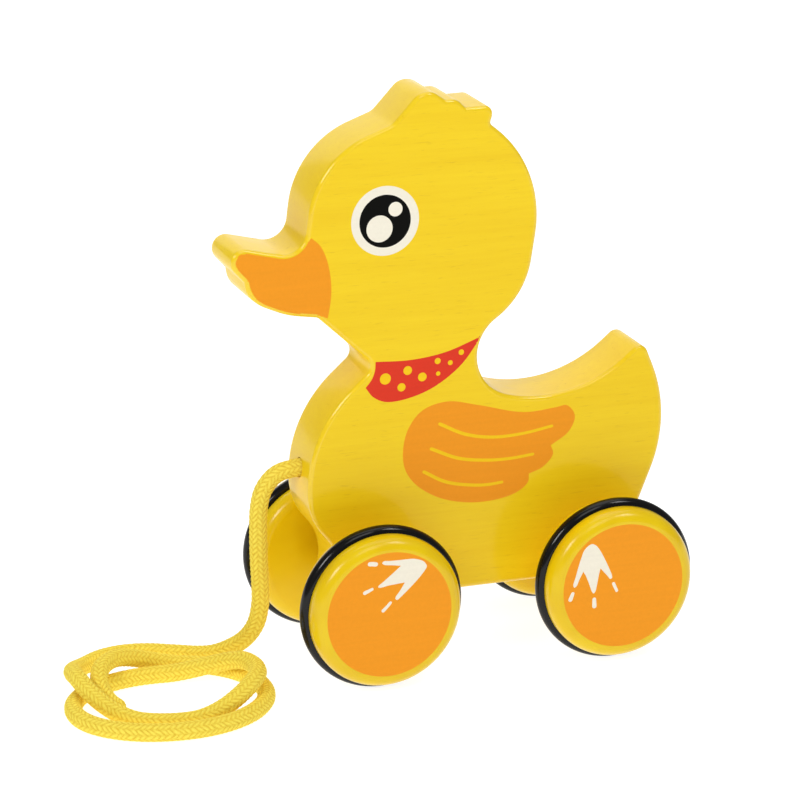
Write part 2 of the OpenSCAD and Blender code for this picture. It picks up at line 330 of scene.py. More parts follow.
@dataclass(frozen=True)
class RingRubber:
    """Moulded black rubber, a soft sheen over a fine mould grain with a little dust."""

    name: str = "rubber_black_moulded"
    black: str = "#060505"
    dust: str = "#0c0b09"
    # Mould grain is too fine to show, so it is drawn this coarse
    grain_mm: float = 0.45
    relief_mm: float = 0.05
    dust_mm: float = 7.0
    dust_range: Flat = (0.45, 0.75)
    roughness: Flat = (0.3, 0.52)

    def make(self) -> Material:
        """Builds the rubber with its mould grain and patches of dust.

        Returns:
            The material.
        """
        material, tree, shader, where = new_material(self.name)
        grain = add(tree, "ShaderNodeTexNoise", inputs={
            "Vector": where, "Scale": 1 / (self.grain_mm * MM), "Detail": 2.0})
        patch = add(tree, "ShaderNodeTexNoise", inputs={
            "Vector": where, "Scale": 1 / (self.dust_mm * MM), "Detail": 3.0})
        tone = add(tree, "ShaderNodeMapRange", inputs={"Value": patch, **spread(*self.dust_range)})
        colour = add(tree, "ShaderNodeMix", {"data_type": "RGBA"}, {
            FACTOR: tone, COLOUR_A: linear(self.black), COLOUR_B: linear(self.dust)})
        matt = add(tree, "ShaderNodeMapRange", inputs={
            "Value": patch, "To Min": self.roughness[0], "To Max": self.roughness[1]})
        bump = add(tree, "ShaderNodeBump", inputs={
            "Height": grain, "Strength": 0.15, "Distance": self.relief_mm * MM})
        fill(tree, shader, {
            "Base Color": colour, "Normal": bump, "Roughness": matt, "IOR": 1.52, "Specular IOR Level": 0.05,
            "Coat Weight": 0.5, "Coat Roughness": 0.12})
        return material


@dataclass(frozen=True)
class BraidedCotton:
    """Dyed cotton yarn, matt and slightly fuzzy, with painted light and shade: paler on the crowns and deeper
    between the stitches.
    """

    name: str = "cotton_braid_yellow"
    # Painted highlight on the stitches' crowns and painted shade in the creases between them
    crown: str = "#ffea5c"
    crease: str = "#d8a91a"
    sheen: str = "#ffe98a"
    # Cotton fibres are too fine to show, so their fuzz is drawn this coarse
    fuzz_mm: float = 0.3
    fuzz_tone: Flat = (0.7, -0.3)
    fuzz_height: float = 0.5
    relief_mm: float = 0.2

    def make(self) -> Material:
        """Builds the yarn from the braid's own mark for the lift of each stitch.

        Returns:
            The material.
        """
        material, tree, shader, where = new_material(self.name)
        lift = add(tree, "ShaderNodeAttribute", {"attribute_name": "lift"}).outputs["Fac"]
        fuzz = add(tree, "ShaderNodeTexNoise", inputs={
            "Vector": where, "Scale": 1 / (self.fuzz_mm * MM), "Detail": 2.0})
        worn = add(tree, "ShaderNodeMath", {"operation": "MULTIPLY_ADD"}, {
            0: fuzz, 1: self.fuzz_tone[0], 2: self.fuzz_tone[1]})
        tone = add(tree, "ShaderNodeMath", {"operation": "ADD", "use_clamp": True}, {0: lift, 1: worn})
        # Painted shade and highlight: the colour deepens to the crease colour where a stitch dives and pales
        # to the crown colour where it stands up
        colour = add(tree, "ShaderNodeMix", {"data_type": "RGBA"}, {
            FACTOR: tone, COLOUR_A: linear(self.crease), COLOUR_B: linear(self.crown)})
        height = add(tree, "ShaderNodeMath", {"operation": "MULTIPLY_ADD"}, {
            0: fuzz, 1: self.fuzz_height, 2: lift})
        bump = add(tree, "ShaderNodeBump", inputs={
            "Height": height, "Strength": 0.5, "Distance": self.relief_mm * MM})
        fill(tree, shader, {
            "Base Color": colour, "Normal": bump, "Roughness": 0.9, "Specular IOR Level": 0.15,
            "Sheen Weight": 0.15, "Sheen Roughness": 0.5, "Sheen Tint": linear(self.sheen)})
        return material


@dataclass(frozen=True)
class PaleFloor:
    """White acrylic sheet of a light table, matt and even, lit from below so that no shadow shows."""

    name: str = "acrylic_white_lit"
    white: str = "#a8a8a7"
    light: str = "#ffffff"
    glow: float = 0.9
    # Sanding marks are too fine to show, so they are drawn this coarse
    grit_mm: float = 0.9
    relief_mm: float = 0.05

    def make(self) -> Material:
        """Builds the sheet with its barely visible sanded surface.

        Returns:
            The material.
        """
        material, tree, shader, where = new_material(self.name)
        grit = add(tree, "ShaderNodeTexNoise", inputs={"Vector": where, "Scale": 1 / (self.grit_mm * MM)})
        bump = add(tree, "ShaderNodeBump", inputs={
            "Height": grit, "Strength": 0.03, "Distance": self.relief_mm * MM})
        fill(tree, shader, {
            "Base Color": linear(self.white), "Normal": bump, "Roughness": 0.95,
            "Specular IOR Level": 0.1, "Emission Color": linear(self.light), "Emission Strength": self.glow})
        return material


def in_scene(name: str, data: ID) -> Object:
    """Links a new object to the scene.

    Args:
        name: Name of the object.
        data: Mesh, light or camera that it shows.

    Returns:
        The object at the origin.
    """
    item = bpy.data.objects.new(name, data)
    bpy.context.scene.collection.objects.link(item)
    return item


def quarter(steps: int) -> list[float]:
    """Gives the angles of a quarter turn in even steps."""
    return [math.pi / 2 * k / steps for k in range(steps + 1)]


def circle(x: float, z: float, radius: float, steps: int = 64) -> list[Flat]:
    """Gives the points of a circle.

    Args:
        x: Middle along X.
        z: Middle along Z.
        radius: Radius of the circle.
        steps: Number of points.

    Returns:
        The circle's points, anticlockwise.
    """
    angles = [2 * math.pi * k / steps for k in range(steps)]
    return [(x + radius * math.cos(a), z + radius * math.sin(a)) for a in angles]


def anticlockwise(loop: list[Flat]) -> list[Flat]:
    """Gives a closed outline in anticlockwise order."""
    area = sum(a[0] * b[1] - b[0] * a[1] for a, b in zip(loop, loop[1:] + loop[:1]))
    return loop if area > 0 else loop[::-1]


def encloses(loop: list[Flat], x: float, z: float) -> bool:
    """Tells whether a point lies inside a closed outline.

    Args:
        loop: Points of the outline.
        x: Place of the point along X.
        z: Place of the point along Z.

    Returns:
        True when a ray from the point crosses the outline an odd number of times.
    """
    crossed = [
        (a[1] > z) != (b[1] > z) and x < a[0] + (b[0] - a[0]) * (z - a[1]) / (b[1] - a[1])
        for a, b in zip(loop, loop[1:] + loop[:1])]
    return sum(crossed) % 2 == 1


def smooth_line(knots: list[Vector], steps: int) -> list[Vector]:
    """Draws an even smooth curve through points, without its last one.

    Args:
        knots: Points that the curve passes through, in any number of dimensions.
        steps: Points for each stretch between two knots.

    Returns:
        Points on the curve.
    """
    first = 2 * knots[0] - knots[1]
    last = 2 * knots[-1] - knots[-2]
    reach = [first, *knots, last]
    line = []
    for p0, p1, p2, p3 in zip(reach, reach[1:], reach[2:], reach[3:]):
        t1 = (p1 - p0).length ** 0.5
        t2 = t1 + (p2 - p1).length ** 0.5
        t3 = t2 + (p3 - p2).length ** 0.5
        for k in range(steps):
            t = t1 + (t2 - t1) * k / steps
            a1 = p0.lerp(p1, t / t1)
            a2 = p1.lerp(p2, (t - t1) / (t2 - t1))
            a3 = p2.lerp(p3, (t - t2) / (t3 - t2))
            b1 = a1.lerp(a2, t / t2)
            b2 = a2.lerp(a3, (t - t1) / (t3 - t1))
            line.append(b1.lerp(b2, (t - t1) / (t2 - t1)))
    return line


def closed_shape(*spans: list[Flat], steps: int = 8) -> list[Flat]:
    """Draws a closed outline from smooth spans that meet in corners.

    Args:
        spans: Points of each span; it ends where the next one starts.
        steps: Points for each stretch between two given points.

    Returns:
        Points of the outline.
    """
    line = []
    for span in spans:
        line += smooth_line([Vector(p) for p in span], steps)
    return [(p.x, p.y) for p in line]


def brush_stroke(knots: list[Flat], widths: Flat, steps: int = 8, ends: int = 6) -> list[Flat]:
    """Draws a line of changing width with round ends as a closed outline.

    Args:
        knots: Points that the line's middle passes through.
        widths: Width at the first and at the last point.
        steps: Points for each stretch between two knots.
        ends: Steps of each round end.

    Returns:
        Points of the outline.
    """
    middle = [*smooth_line([Vector(p) for p in knots], steps), Vector(knots[-1])]
    last = len(middle) - 1
    sides: tuple[list[Flat], list[Flat]] = ([], [])
    for i, p in enumerate(middle):
        run = (middle[min(i + 1, last)] - middle[max(i - 1, 0)]).normalized()
        half = (widths[0] + (widths[1] - widths[0]) * i / last) / 2
        sides[0].append((p.x - run.y * half, p.y + run.x * half))
        sides[1].append((p.x + run.y * half, p.y - run.x * half))
    caps = []
    for end, near, half in ((last, last - 1, widths[1] / 2), (0, 1, widths[0] / 2)):
        out = (middle[end] - middle[near]).normalized()
        start = math.atan2(out.y, out.x) + math.pi / 2
        turns = [start - math.pi * k / ends for k in range(1, ends)]
        caps.append([(middle[end].x + half * math.cos(t), middle[end].y + half * math.sin(t)) for t in turns])
    return sides[0] + caps[0] + sides[1][::-1] + caps[1]


@dataclass(frozen=True)
class Print:
    """One flat patch of ink, with its outline in the plane of the face that it is printed on."""

    ink: Ink
    outline: list[Flat]


@dataclass
class Draft:
    """Points and faces gathered for one piece, in millimetres."""

    points: list[Point] = field(default_factory=list)
    faces: list[tuple[int, ...]] = field(default_factory=list)
    slots: list[int] = field(default_factory=list)

    def add_ring(self, ring: list[Point]) -> int:
        """Adds a ring of points and gives the place of its first one."""
        self.points += ring
        return len(self.points) - len(ring)

    def add_band(self, first: int, second: int, count: int, slot: int = 0) -> None:
        """Joins two closed rings with four-sided faces.

        Args:
            first: Place of the first ring's first point.
            second: Place of the second ring's first point.
            count: Points in each ring.
            slot: Material slot of the faces.
        """
        for k in range(count):
            m = (k + 1) % count
            self.faces.append((first + k, first + m, second + m, second + k))
            self.slots.append(slot)

    def add_flat(self, edge: list[Flat], prints: list[Print], inks: list[Ink], level: float,
                 holes: list[list[Flat]]) -> None:
        """Fills a flat face in the plane of X and Z, split along the prints on it.

        Args:
            edge: Outline of the face.
            prints: Patches of ink, the uppermost last.
            inks: Inks in the order of the material slots from 1.
            level: Place of the face along Y.
            holes: Outlines that stay open.
        """
        layers = [anticlockwise(layer) for layer in (edge, *holes, *(p.outline for p in prints))]
        points: list[Vector] = []
        loops = []
        for layer in layers:
            loops.append(list(range(len(points), len(points) + len(layer))))
            points += [Vector(p) for p in layer]
        # Only the faces inside the outlines are wanted
        inside, least_gap = 1, 1e-7
        found, _, faces, _, _, owners = delaunay_2d_cdt(points, [], loops, inside, least_gap)
        start = self.add_ring([(p.x, level, p.y) for p in found])
        for face, owner in zip(faces, owners):
            if 0 not in owner or any(1 <= o <= len(holes) for o in owner):
                continue
            top = max(owner)
            self.faces.append(tuple(start + k for k in face))
            self.slots.append(1 + inks.index(prints[top - 1 - len(holes)].ink) if top else 0)

    def add_ink(self, count: int, prints: list[Print], inks: list[Ink]) -> None:
        """Lets the prints reach over the faces that were added last.

        Args:
            count: Number of faces.
            prints: Patches of ink, the uppermost last.
            inks: Inks in the order of the material slots from 1.
        """
        for i in range(len(self.faces) - count, len(self.faces)):
            corners = [self.points[k] for k in self.faces[i]]
            x, _, z = (sum(c) / len(corners) for c in zip(*corners))
            for patch in prints:
                if encloses(patch.outline, x, z):
                    self.slots[i] = 1 + inks.index(patch.ink)

    def finish(self, name: str, materials: list[Material], crease: float = CREASE) -> Object:
        """Welds the draft into a closed mesh object with outward faces.

        Args:
            name: Name of the object.
            materials: Materials in the order of the slots.
            crease: Angle in degrees above which an edge stays sharp.

        Returns:
            The object, linked to the scene.
        """
        mesh = bpy.data.meshes.new(name)
        mesh.from_pydata([tuple(c * MM for c in p) for p in self.points], [], self.faces)
        for polygon, slot in zip(mesh.polygons, self.slots):
            polygon.material_index = slot
        for material in materials:
            mesh.materials.append(material)
        tidy_mesh(mesh, crease)
        return in_scene(name, mesh)


def tidy_mesh(mesh: Mesh, crease: float = CREASE) -> None:
    """Merges doubles, turns faces outwards and keeps edges above an angle sharp.

    Args:
        mesh: Closed mesh in metres.
        crease: Angle in degrees.
    """
    work = bmesh.new()
    work.from_mesh(mesh)
    bmesh.ops.remove_doubles(work, verts=work.verts, dist=WELD * MM)
    bmesh.ops.dissolve_degenerate(work, edges=work.edges, dist=SLIVER * MM)
    bmesh.ops.recalc_face_normals(work, faces=work.faces)
    for face in work.faces:
        face.smooth = True
    for edge in work.edges:
        edge.smooth = edge.calc_face_angle(0.0) < math.radians(crease)
    work.to_mesh(mesh)
    work.free()


def baked(source: Object, name: str) -> Object:
    """Turns an object with live modifiers into a plain mesh object and removes the source.

    Args:
        source: Object whose modifiers are evaluated.
        name: Name of the new object.

    Returns:
        The plain object at the origin.
    """
    graph = bpy.context.evaluated_depsgraph_get()
    mesh = bpy.data.meshes.new_from_object(source.evaluated_get(graph), depsgraph=graph)
    mesh.name = name
    bpy.data.objects.remove(source)
    return in_scene(name, mesh)


@dataclass
class DuckBoard:
    """The board: a belt laid round discs, with rounded rims, axle bores, a cord hole and prints."""

    thickness: float = 22.0
    rim: float = 1.4
    rim_steps: int = 8
    hold: float = 0.1
    inked_rim: int = 2
    arc_gap: float = 0.008
    least_step: float = 0.03
    head_x: float = -11.0
    head_z: float = 148.3
    bill_x: float = -77.0
    tail_x: float = 74.0
    boss_r: float = 9.0
    bore: float = 6.2
    bore_sides: int = 72
    hole: float = 6.6
    hole_sides: int = 64
    mouth: float = 0.4
    mouth_steps: int = 6
    run_in: float = 3.0
    vein: Flat = (1.15, 1.0)
    inks: tuple[Ink, ...] = tuple(Ink)

    def discs(self) -> list[Disc]:
        """Sets out the discs that the belt runs round.

        Returns:
            Discs as (x, z, radius), clockwise seen from the left, with a negative radius for a hollow.
        """
        hx, hz, bx = self.head_x, self.head_z, self.bill_x
        fx, rx, az = FRONT_AXLE_X, REAR_AXLE_X, AXLE_Z
        px, tx = BREAST_X, self.tail_x
        nape = (hx + 9.5, hz - 10, 27.7)
        back = (tx - 43.5, az + 105.9, -46.6)
        chest = (px + 24, az + 34.2, 24.0)
        front = (fx, az, self.boss_r)
        return [
            # Throat and bill
            (px + 17.3, az + 75.4, -3.9),
            (hx - 37.7, hz - 28.9, -2.0),
            (bx + 27.8, hz + 5, 31.4),
            (bx + 17, hz - 9.9, 13.4),
            (bx + 12.2, hz - 13.6, 7.5),
            (bx + 4.2, hz - 13.2, -0.3),
            (bx + 4.4, hz - 6.4, 4.4),
            (hx - 47.9, hz + 2.2, -7.2),
            # Brow, crest and head
            (hx - 9, hz + 2.4, 31.4),
            (hx - 15, hz + 40, -6.0),
            (hx, hz + 38.5, 6.0),
            (hx + 6.5, hz + 42.5, -1.0),
            (hx + 8, hz + 36.5, 5.0),
            (hx + 13.5, hz + 39.5, -1.0),
            (hx + 19.5, hz + 35.6, 3.0),
            (hx + 23.4, hz + 33, -1.5),
            (hx - 0.3, hz + 0.2, 38.9),
            # Nape, back and tail
            nape,
            self.touching(nape, back, -14.8),
            back,
            (tx - 8.9, az + 69.8, 3.3),
            (tx - 48.2, az + 47.4, 48.2),
            # Bosses round the axles, with the underside between them, and breast
            (rx, az, self.boss_r),
            (rx - 14.5, az - 11, -6.0),
            (fx + 14.5, az - 11, -6.0),
            front,
            self.touching(chest, front, -16.5),
            chest,
            (px + 44.5, az + 34.8, 44.5),
        ]

    @staticmethod
    def touching(a: Disc, b: Disc, radius: float) -> Disc:
        """Finds the disc that touches two others on the right of the way from a to b.

        Args:
            a: First disc.
            b: Second disc.
            radius: Radius of the wanted disc, negative for a hollow.

        Returns:
            The touching disc.
        """
        ra, rb = abs(a[2] - radius), abs(b[2] - radius)
        vx, vz = b[0] - a[0], b[1] - a[1]
        gap = math.hypot(vx, vz)
        along = (ra * ra - rb * rb + gap * gap) / (2 * gap)
        off = -math.sqrt(max(0.0, ra * ra - along * along))
        return a[0] + (along * vx - off * vz) / gap, a[1] + (along * vz + off * vx) / gap, radius

    @staticmethod
    def heading(a: Disc, b: Disc) -> float:
        """Finds the direction of the belt between two discs.

        Args:
            a: Disc that the belt leaves.
            b: Disc that it reaches.

        Returns:
            The direction in radians.
        """
        vx, vz = b[0] - a[0], b[1] - a[1]
        slant = (b[2] - a[2]) / math.hypot(vx, vz)
        return math.atan2(vz, vx) + math.asin(max(-1.0, min(1.0, slant)))

    def outline(self) -> list[tuple[Flat, Flat]]:
        """Walks along the belt.

        Returns:
            Points of the board's outline, each with its outward direction.
        """
        discs = self.discs()
        count = len(discs)
        line: list[tuple[Flat, Flat]] = []
        for i, (x, z, radius) in enumerate(discs):
            start = self.heading(discs[i - 1], discs[i])
            turn = self.heading(discs[i], discs[(i + 1) % count]) - start
            turn -= 2 * math.pi * round(turn / (2 * math.pi))
            least = 2 * math.acos(1 - self.arc_gap / abs(radius))
            steps = max(1, math.ceil(abs(turn) / least))
            for k in range(steps + 1):
                h = start + turn * k / steps
                out = (-math.sin(h), math.cos(h))
                spot = (x + radius * out[0], z + radius * out[1])
                if not line or math.dist(spot, line[-1][0]) > self.least_step:
                    line.append((spot, out))
        return line

    def prints(self) -> list[Print]:
        """Draws the bill, the eye, the neckerchief and the wing.

        Returns:
            The patches of ink, the uppermost last.
        """
        bill = closed_shape(
            [(-71.2, 135.5), (-73.9, 138.8), (-75.5, 141.5), (-75.4, 143.2), (-73.9, 144.8), (-69.2, 144.7),
             (-64.4, 143.7), (-60.2, 142.6), (-56.0, 142.8), (-53.3, 144.3), (-50.3, 148.3)],
            [(-50.3, 148.3), (-47.3, 145.5), (-45.2, 141.2), (-44.0, 136.2), (-43.5, 131.3), (-43.7, 126.8),
             (-44.7, 121.1)],
            [(-44.7, 121.1), (-50.0, 123.0), (-56.1, 123.8), (-60.6, 125.0), (-65.1, 126.9), (-68.0, 129.1),
             (-70.1, 132.0), (-71.2, 135.5)])
        scarf = closed_shape(
            [(-28.3, 104.8), (-16.1, 104.3), (-4.0, 105.8), (8.4, 110.0)],
            [(8.4, 110.0), (1.0, 100.5), (-10.6, 93.1), (-24.0, 90.7), (-29.0, 92.9), (-31.7, 96.3)],
            [(-31.7, 96.3), (-29.5, 99.1), (-28.5, 101.9), (-28.3, 104.8)])
        wing = closed_shape(
            [(26.0, 60.6), (25.7, 57.7), (21.1, 54.3), (8.3, 52.6), (-5.2, 55.5), (-14.2, 61.4),
             (-17.9, 67.1), (-18.6, 73.4), (-16.9, 80.6), (-12.1, 86.5), (-3.4, 88.8), (7.8, 86.4),
             (23.8, 82.3), (35.2, 82.8), (39.2, 83.1), (42.1, 79.2), (40.1, 74.0), (33.7, 69.7)],
            [(33.7, 69.7), (34.5, 66.5), (31.0, 62.5), (26.0, 60.6)])
        dots = [(-24.9, 98.7, 1.9), (-17.2, 100.8, 1.5), (-19.3, 95.3, 1.4), (-12.1, 98.1, 1.5),
                (-6.8, 103.0, 1.05), (-6.6, 98.7, 0.75), (-2.4, 102.0, 0.85), (1.4, 105.2, 0.95)]
        veins = [[(-5.8, 81.3), (3.0, 76.9), (12.6, 74.8), (23.5, 74.9), (33.9, 76.4)],
                 [(-8.7, 73.0), (1.0, 68.7), (11.8, 66.9), (20.0, 66.7), (27.3, 67.3)],
                 [(-11.2, 65.3), (-3.5, 61.0), (6.1, 58.8), (11.5, 58.4), (16.4, 58.7)]]
        return [
            Print(Ink.ORANGE, bill),
            Print(Ink.CREAM, circle(-25.3, 151.8, 11.55, 96)),
            Print(Ink.BLACK, circle(-25.3, 151.7, 8.75, 80)),
            Print(Ink.CREAM, circle(-27.2, 149.3, 4.45)),
            Print(Ink.CREAM, circle(-21.8, 155.4, 2.4, 40)),
            Print(Ink.RED, scarf),
            *(Print(Ink.YELLOW, circle(x, z, r, 28)) for x, z, r in dots),
            Print(Ink.ORANGE, wing),
            *(Print(Ink.YELLOW, brush_stroke(v, self.vein)) for v in veins),
        ]

    def build(self, lacquer: Material, gloss: Material, inks: dict[Ink, Material]) -> Object:
        """Makes the board with its prints on both faces.

        Args:
            lacquer: Material of the lacquered wood.
            gloss: Material of the rounded rims.
            inks: Material of each ink.

        Returns:
            The board.
        """
        line = self.outline()
        prints = self.prints()
        order = list(self.inks)
        gloss_slot = 1 + len(order)
        count = len(line)
        half = self.thickness / 2
        draft = Draft()
        rim = [(self.rim + self.hold, half)]
        rim += [(self.rim * (1 - math.sin(a)), half - self.rim * (1 - math.cos(a)))
                for a in quarter(self.rim_steps)]
        section = [(inset, -y) for inset, y in rim] + [(inset, y) for inset, y in reversed(rim)]
        rings = [
            draft.add_ring([(p[0] - inset * n[0], y, p[1] - inset * n[1]) for p, n in line])
            for inset, y in section]
        for k, (first, second) in enumerate(zip(rings, rings[1:])):
            deep = min(k, len(rings) - 2 - k)
            draft.add_band(first, second, count, gloss_slot if 0 < deep <= self.rim_steps else 0)
            if deep < self.inked_rim:
                draft.add_ink(count, prints, order)
        face = [(draft.points[k][0], draft.points[k][2]) for k in range(count)]
        bores = [circle(x, AXLE_Z, self.bore / 2, self.bore_sides) for x in (FRONT_AXLE_X, REAR_AXLE_X)]
        for level in (-half, half):
            draft.add_flat(face, prints, order, level, bores)
        for ring in bores:
            ends = [draft.add_ring([(x, level, z) for x, z in ring]) for level in (-half, half)]
            draft.add_band(ends[0], ends[1], len(ring))
        board = draft.finish("board_blank", [lacquer, *(inks[i] for i in order), gloss])
        return self.drilled(board, lacquer)

    def drilled(self, board: Object, lacquer: Material) -> Object:
        """Cuts the cord's blind hole with its softened mouth into the breast.

        Args:
            board: Board without the hole.
            lacquer: Material of the hole's wall.

        Returns:
            The finished board.
        """
        bit = Draft()
        radius, lip, sides = self.hole / 2, self.mouth, self.hole_sides
        stations = [(BREAST_X - self.run_in, radius + lip)]
        stations += [(BREAST_X + lip * (1 - math.cos(a)), radius + lip * (1 - math.sin(a)))
                     for a in quarter(self.mouth_steps)]
        stations.append((BREAST_X + HOLE_DEPTH, radius))
        rings = [bit.add_ring([(x, y, z) for y, z in circle(0.0, HOLE_Z, r, sides)]) for x, r in stations]
        for first, second in zip(rings, rings[1:]):
            bit.add_band(first, second, sides)
        for ring in (rings[0], rings[-1]):
            bit.faces.append(tuple(range(ring, ring + sides)))
            bit.slots.append(0)
        cutter = bit.finish("cord_hole_bit", [lacquer])
        cut = board.modifiers.new("cord_hole", "BOOLEAN")
        cut.operation = "DIFFERENCE"
        cut.solver = "EXACT"
        cut.object = cutter
        piece = baked(board, "duck_board")
        bpy.data.objects.remove(cutter)
        tidy_mesh(piece.data)
        return piece


@dataclass
class WheelSet:
    """Two wheels with ring tyres on a dowel axle, with spacing collars against the board."""

    name: str
    body: str
    axle_x: float
    foot: list[list[Flat]]
    axle_z: float = AXLE_Z
    axle_d: float = 6.0
    axle_l: float = 62.5
    axle_soft: float = 0.6
    inner_y: float = 21.25
    wheel_r: float = 25.75
    wheel_w: float = 17.0
    shoulder: float = 4.3
    shoulder_steps: int = 12
    soft: float = 0.25
    disc_r: float = 21.3
    sink: float = 10.0
    glue_gap: float = 0.05
    tyre_d: float = 4.8
    tyre_r: float = 27.8
    tyre_gap: float = 0.15
    tyre_sides: int = 36
    groove_lip: Flat = (0.05, 0.06)
    groove_steps: int = 24
    collar_d: float = 9.0
    collar_l: float = 9.75
    collar_soft: float = 0.5
    collar_bevel: float = 0.15
    collar_crease: float = 50.0
    sides: int = 128

    @property
    def bore_r(self) -> float:
        """Gives the radius of the bores that are glued to the axle."""
        return self.axle_d / 2 + self.glue_gap

    def ring(self, draft: Draft, radius: float, y: float) -> int:
        """Adds a ring about the axle and gives the place of its first point."""
        return draft.add_ring([(x, y, z) for x, z in circle(self.axle_x, self.axle_z, radius, self.sides)])

    def turn(self, draft: Draft, profile: list[Flat], closed: bool = False) -> None:
        """Turns a profile about the axle.

        Args:
            draft: Draft that takes the faces.
            profile: Points as (radius, y).
            closed: Whether the profile's last point joins its first.
        """
        rings = [self.ring(draft, radius, y) for radius, y in profile]
        for first, second in zip(rings, rings[1:] + rings[:1] if closed else rings[1:]):
            draft.add_band(first, second, self.sides)

    def plug(self, draft: Draft, radius: float, y: float) -> None:
        """Closes a round end with one flat face."""
        draft.add_flat(circle(self.axle_x, self.axle_z, radius, self.sides), [], [], y, [])

    def wheel_profile(self) -> list[Flat]:
        """Draws the wheel's section from its blind bore round to the edge of the printed disc.

        Returns:
            Points as (radius, distance from the wheel's inner face).
        """
        wide, r, soft = self.wheel_w, self.wheel_r, self.soft
        inside, bore = r - self.shoulder, self.bore_r
        groove_r = self.tyre_d / 2 + self.tyre_gap
        middle = self.tyre_r - self.tyre_d / 2 + self.tyre_gap
        half_open = math.sqrt(groove_r ** 2 - (r - middle) ** 2)
        lip_r, lip_y = r - self.groove_lip[0], self.groove_lip[1]
        arc = quarter(self.shoulder_steps)
        line = [(bore, self.sink), (bore, soft), (bore + soft, 0.0), (bore + 2 * soft, 0.0)]
        line.append((inside - soft, 0.0))
        line += [(inside + self.shoulder * math.sin(a), self.shoulder * (1 - math.cos(a))) for a in arc]
        line += [(r, wide / 2 - half_open - soft), (lip_r, wide / 2 - half_open - lip_y)]
        low = math.atan2(r - middle, -half_open) - 2 * math.pi
        high = math.atan2(r - middle, half_open)
        turns = [low + (high - low) * k / self.groove_steps for k in range(1, self.groove_steps)]
        line += [(middle + groove_r * math.sin(t), wide / 2 + groove_r * math.cos(t)) for t in turns]
        line += [(lip_r, wide / 2 + half_open + lip_y), (r, wide / 2 + half_open + soft)]
        line += [(inside + self.shoulder * math.cos(a), wide - self.shoulder * (1 - math.sin(a)))
                 for a in arc]
        return [*line, (self.disc_r, wide)]

    def wheel(self, side: int, enamel: Material, inks: dict[Ink, Material]) -> Object:
        """Makes one wheel with the printed disc and foot on its outer face.

        Args:
            side: LEFT or RIGHT.
            enamel: Material of the turned wood.
            inks: Material of each ink.

        Returns:
            The wheel.
        """
        draft = Draft()
        self.turn(draft, [(r, side * (self.inner_y + y)) for r, y in self.wheel_profile()])
        self.plug(draft, self.bore_r, side * (self.inner_y + self.sink))
        edge = circle(self.axle_x, self.axle_z, self.disc_r, self.sides)
        patches = [Print(Ink.ORANGE, edge)]
        for shape in self.foot:
            patches.append(Print(Ink.CREAM, [(self.axle_x + x, self.axle_z + z) for x, z in shape]))
        draft.add_flat(edge, patches, list(Ink), side * (self.inner_y + self.wheel_w), [])
        return draft.finish(f"{self.name}_{self.hand(side)}_turned_wheel", [enamel, *(inks[i] for i in Ink)])

    def tyre(self, side: int, rubber: Material) -> Object:
        """Makes one ring tyre.

        Args:
            side: LEFT or RIGHT.
            rubber: Material of the ring.

        Returns:
            The tyre.
        """
        draft = Draft()
        r = self.tyre_d / 2
        middle = side * (self.inner_y + self.wheel_w / 2)
        self.turn(draft, circle(self.tyre_r - r, middle, r, self.tyre_sides), closed=True)
        return draft.finish(f"{self.name}_{self.hand(side)}_rubber_ring", [rubber])

    def collar(self, side: int, enamel: Material) -> Object:
        """Makes one spacing collar with broken edges.

        Args:
            side: LEFT or RIGHT.
            enamel: Material of the sleeve.

        Returns:
            The collar.
        """
        draft = Draft()
        soft, bevel = self.collar_soft, self.collar_bevel
        bore, r = self.bore_r, self.collar_d / 2
        near, far = self.inner_y - self.collar_l, self.inner_y
        profile = [(bore, near), (r - soft, near), (r - bevel, near + bevel), (r, near + soft),
                   (r, far - soft), (r - bevel, far - bevel), (r - soft, far), (bore, far)]
        self.turn(draft, [(radius, side * y) for radius, y in profile], closed=True)
        name = f"{self.name}_{self.hand(side)}_spacing_collar"
        return draft.finish(name, [enamel], self.collar_crease)

    def axle(self, wood: Material) -> Object:
        """Makes the dowel with broken ends.

        Args:
            wood: Material of the dowel.

        Returns:
            The axle.
        """
        draft = Draft()
        end, r, soft = self.axle_l / 2, self.axle_d / 2, self.axle_soft
        self.turn(draft, [(r - soft, -end), (r, soft - end), (r, end - soft), (r - soft, end)])
        for y in (-end, end):
            self.plug(draft, r - soft, y)
        return draft.finish(f"{self.name}_dowel", [wood])

    @staticmethod
    def hand(side: int) -> str:
        """Names a side of the duck."""
        return "left" if side == LEFT else "right"


# Feet printed on the wheels, seen from the left about the axle
FRONT_FOOT = [
    closed_shape(
        [(3.7, 16.4), (1.9, 14.9), (-0.5, 13.0), (-2.7, 11.3), (-3.9, 10.4), (-4, 9.9), (-3.2, 9.7),
         (-0.5, 10.1), (2, 10.3), (5.1, 10.5)],
        [(5.1, 10.5), (4.2, 9.0), (3.2, 7.5), (2.1, 6.1), (1.9, 5.2), (2.5, 4.8), (3.9, 5.8), (6.6, 8.2),
         (9.3, 10.8), (11.5, 13.3), (12.6, 15.2), (11.7, 16.8), (10.2, 17.7), (8, 18.3), (5.8, 18.4),
         (3.4, 18.4), (-0.1, 18.5), (-2.2, 18.6), (-2.7, 18.0), (-2, 17.4), (0.9, 16.9), (3.7, 16.4)],
        steps=5),
    brush_stroke([(-6.9, 18.2), (-5.9, 18.1), (-4.9, 17.9)], (1.5, 1.5), 4),
    brush_stroke([(-8.6, 8.5), (-7.3, 9.0), (-6.1, 9.5)], (1.3, 1.0), 4),
    brush_stroke([(-2.3, 1.6), (-1, 2.8), (0.2, 4.1)], (1.15, 0.95), 4)]
